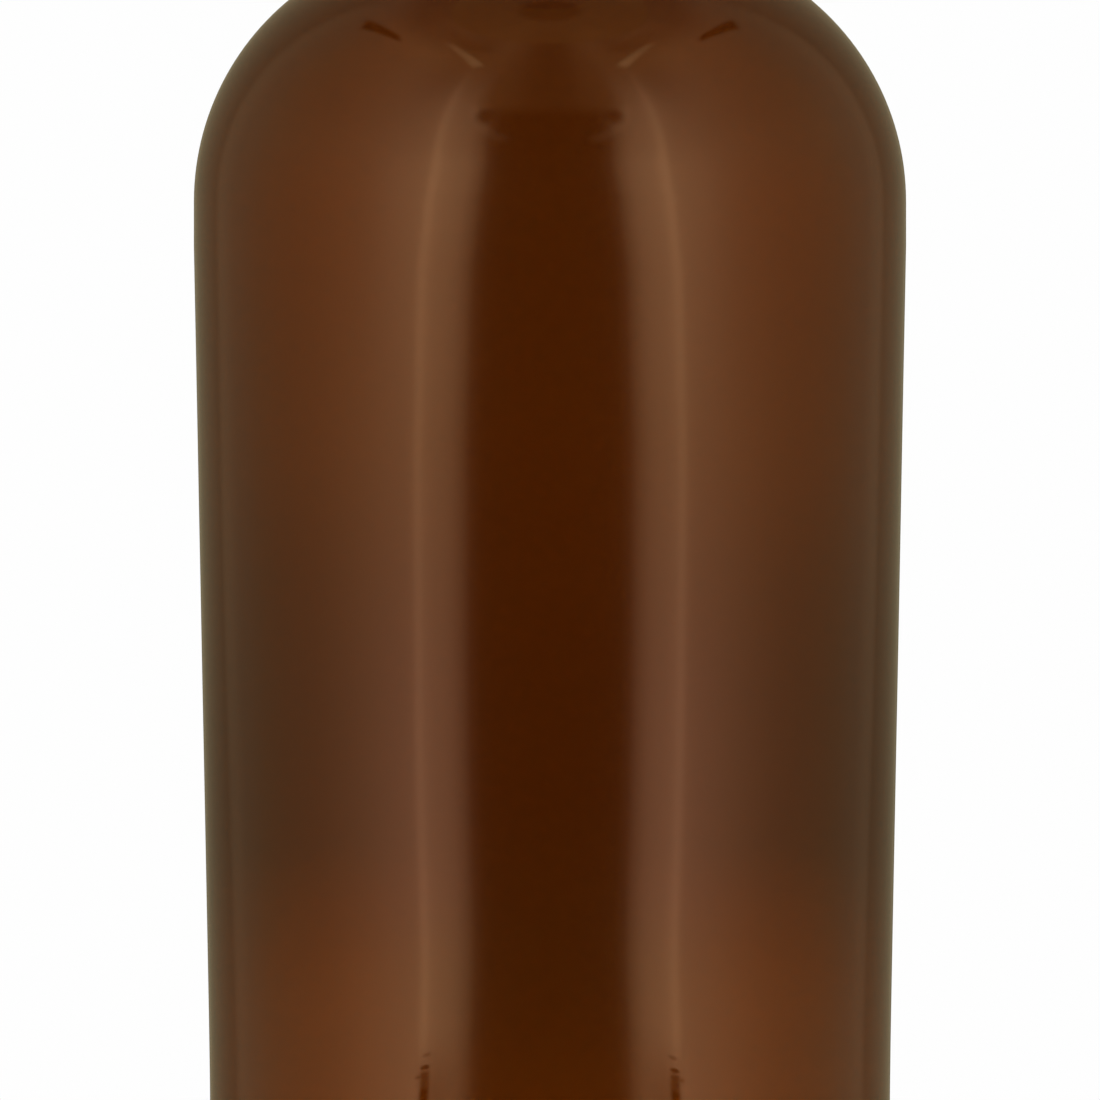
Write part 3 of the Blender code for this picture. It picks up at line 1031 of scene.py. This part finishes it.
tent_outline = [(TENT_RADIUS, TENT_FOOT), (TENT_RADIUS, TENT_HEIGHT)]
tent = turned("light_tent", tent_outline, tent_finish, steps_round=96)
only_for_glass(tent, True, True)

# %% [markdown]
# ## Light through the bottle
#
# Dark glass needs help to glow. Photographers stand a lit card close behind it, hidden by the bottle
# itself, and the whisky throws that light forward. Here a narrow sleeve of light does this. Only rays that
# have gone through the glass see it, so it never shows on its own. It is plain white, a little dimmer half
# way up and towards its front, which only rays that turn round inside the glass meet. To both sides of its
# middle a glow is added at the shoulder and towards the foot. Its levels were found as the tent's were.

# %% Sleeve of light
SLEEVE_RADIUS = 0.15
SLEEVE_LOW = -0.30
SLEEVE_HIGH = 0.60
# height, brightness of the white straight behind the bottle
BEHIND_HEIGHTS = (
    (0.0, 1.1), (0.035, 1.1), (0.040, 0.97), (0.044, 0.93), (0.050, 0.85), (0.056, 0.83), (0.063, 0.86),
    (0.076, 0.88), (0.085, 0.88), (0.10, 0.94), (0.117, 1.0), (0.143, 0.96), (0.19, 1.0),
)
# degrees from straight behind, share of the brightness there
SLEEVE_ROUND = ((0.0, 1.0), (10.0, 1.0), (22.0, 0.94), (90.0, 0.93), (130.0, 0.75), (180.0, 0.75))
# height, what the glow adds to it at the sides
GLOW_HEIGHTS = (
    (0.0, 0.65), (0.038, 0.68), (0.043, 0.8), (0.050, 0.78), (0.058, 0.45), (0.066, 0.0), (0.085, 0.0),
    (0.10, 0.08), (0.115, 0.33), (0.131, 0.45), (0.143, 0.6), (0.19, 0.6),
)
GLOW_START_RUN = (2.0, 10.0, 0.0, 1.0)
GLOW_FAR_RUN = (15.0, 40.0, 1.0, 0.7)

sleeve_finish, sleeve_tree = light_finish("sleeve_of_light")
sleeve_x, sleeve_y, sleeve_up = place_on(sleeve_tree, "Object")
behind = maths(sleeve_tree, "SUBTRACT", 180.0, degrees_off_front(sleeve_tree, sleeve_x, sleeve_y))
glow_share = product(sleeve_tree, eased(sleeve_tree, behind, *GLOW_START_RUN),
                     eased(sleeve_tree, behind, *GLOW_FAR_RUN))
glow = product(sleeve_tree, curve_of(sleeve_tree, sleeve_up, GLOW_HEIGHTS), glow_share)
behind_level = maths(sleeve_tree, "ADD", curve_of(sleeve_tree, sleeve_up, BEHIND_HEIGHTS), glow)
behind_level = product(sleeve_tree, behind_level, curve_of(sleeve_tree, behind, SLEEVE_ROUND), WHITE)
give_light(sleeve_tree, (1.0, 1.0, 1.0, 1.0), behind_level)

sleeve_outline = [(SLEEVE_RADIUS, SLEEVE_LOW), (SLEEVE_RADIUS, SLEEVE_HIGH)]
sleeve = turned("sleeve_of_light", sleeve_outline, sleeve_finish, steps_round=96)
only_for_glass(sleeve, False, True)

# %% [markdown]
# ## The world above the tent
#
# The picture's ground is plain white, so the world is too. Only mirrored rays see something else above the
# tent: a warm ceiling, a little brighter towards the front, and dimmer in a round patch straight above the
# bottle.

# %% World
OVERHEAD_RUN = (-0.1, 0.1, 0.50, 0.38)
OVERHEAD_COLOUR = (1.0, 0.82, 0.46)
BESIDE_GAP_RUN = (0.04, 0.14, 0.0, 1.0)
AHEAD_RUN = (-0.12, -0.20, 0.0, 0.15)
CEILING_PATCH = ((0.0, 0.0), (0.112, 0.112))
PATCH_SOFT = 0.25
PATCH_SHADE = 0.5

world = bpy.data.worlds.new("studio")
bpy.context.scene.world = world
world.use_nodes = True
world.cycles.sampling_method = "NONE"
sky = world.node_tree
sky.nodes.clear()

sky_x, sky_y, _ = place_on(sky, "Generated")
beside_gap = product(sky, ranged(sky, maths(sky, "ABSOLUTE", sky_x), *BESIDE_GAP_RUN),
                     ranged(sky, sky_y, *AHEAD_RUN))
overhead = maths(sky, "ADD", eased(sky, sky_y, *OVERHEAD_RUN), beside_gap)
patch = product(sky, spot(sky, sky_x, sky_y, *CEILING_PATCH, soft=PATCH_SOFT), PATCH_SHADE)
overhead = product(sky, overhead, maths(sky, "SUBTRACT", 1.0, patch))
ceiling = warmed(sky, tinted(sky, overhead, OVERHEAD_COLOUR), product(sky, sky_y, -1.0))

white = add(sky, "ShaderNodeBackground")
white.inputs["Color"].default_value = PLAIN_WHITE
mirror = add(sky, "ShaderNodeBackground")
sky.links.new(ceiling, mirror.inputs["Color"])
path = add(sky, "ShaderNodeLightPath")
mix = add(sky, "ShaderNodeMixShader")
sky.links.new(product(sky, path.outputs["Is Glossy Ray"], path.outputs["Is Reflection Ray"]), mix.inputs[0])
sky.links.new(white.outputs[0], mix.inputs[1])
sky.links.new(mirror.outputs[0], mix.inputs[2])
world_output = add(sky, "ShaderNodeOutputWorld")
sky.links.new(mix.outputs[0], world_output.inputs[0])

bpy.context.scene.view_settings.view_transform = "Standard"
print("world has", len(sky.nodes), "nodes")

# %% [markdown]
# ## Floor and soft light
#
# The floor is a pale disc that fades out towards its rim, so that no edge of it crosses the white behind
# the bottle. It is kept out of the mirrored rays and the rays inside the glass, because the picture's glass
# shows no floor. One large, weak lamp from the upper left gives the stopper and the floor a soft direction.

# %% Floor
FLOOR_RADIUS = 0.95
FLOOR_SOLID = 0.35
FLOOR_GREY = 0.86
FLOOR_GAP = 0.0001

floor_mesh = bpy.data.meshes.new("floor")
floor_shape = bmesh.new()
bmesh.ops.create_circle(floor_shape, cap_ends=True, radius=FLOOR_RADIUS, segments=96)
floor_shape.to_mesh(floor_mesh)
floor_shape.free()
floor = bpy.data.objects.new("floor", floor_mesh)
floor.location.z = -FLOOR_GAP
bpy.context.scene.collection.objects.link(floor)

floor_finish, floor_tree, floor_shader = principled(
    "pale_floor",
    Base_Color=(FLOOR_GREY, FLOOR_GREY, FLOOR_GREY, 1.0),
    Roughness=0.8,
    Specular_IOR_Level=0.1,
)
floor_x, floor_y, _ = place_on(floor_tree, "Object")
floor_squares = [maths(floor_tree, "POWER", side, 2.0) for side in (floor_x, floor_y)]
off_axis = maths(floor_tree, "SQRT", maths(floor_tree, "ADD", *floor_squares))
solid = eased(floor_tree, off_axis, FLOOR_SOLID, FLOOR_RADIUS, 1.0, 0.0)
feed(floor_tree, solid, floor_shader.inputs["Alpha"])
floor_mesh.materials.append(floor_finish)
floor.visible_transmission = False
floor.visible_glossy = False
print("floor is", FLOOR_RADIUS * 2, "m wide")

# %% Soft lamp
LAMP_PLACE = (-0.7, -0.8, 1.1)
LAMP_SIZE = 0.9
LAMP_POWER = 6.0

lamp_data = bpy.data.lights.new("soft_lamp", "AREA")
lamp_data.size = LAMP_SIZE
lamp_data.energy = LAMP_POWER
lamp = bpy.data.objects.new("soft_lamp", lamp_data)
lamp.location = LAMP_PLACE
aim = Vector((0.0, 0.0, BOTTLE_HEIGHT / 2)) - Vector(LAMP_PLACE)
lamp.rotation_euler = aim.to_track_quat("-Z", "Y").to_euler()
lamp.visible_camera = False
lamp.visible_glossy = False
lamp.visible_transmission = False
bpy.context.scene.collection.objects.link(lamp)
print("lamp is", round(aim.length, 2), "m from the bottle")
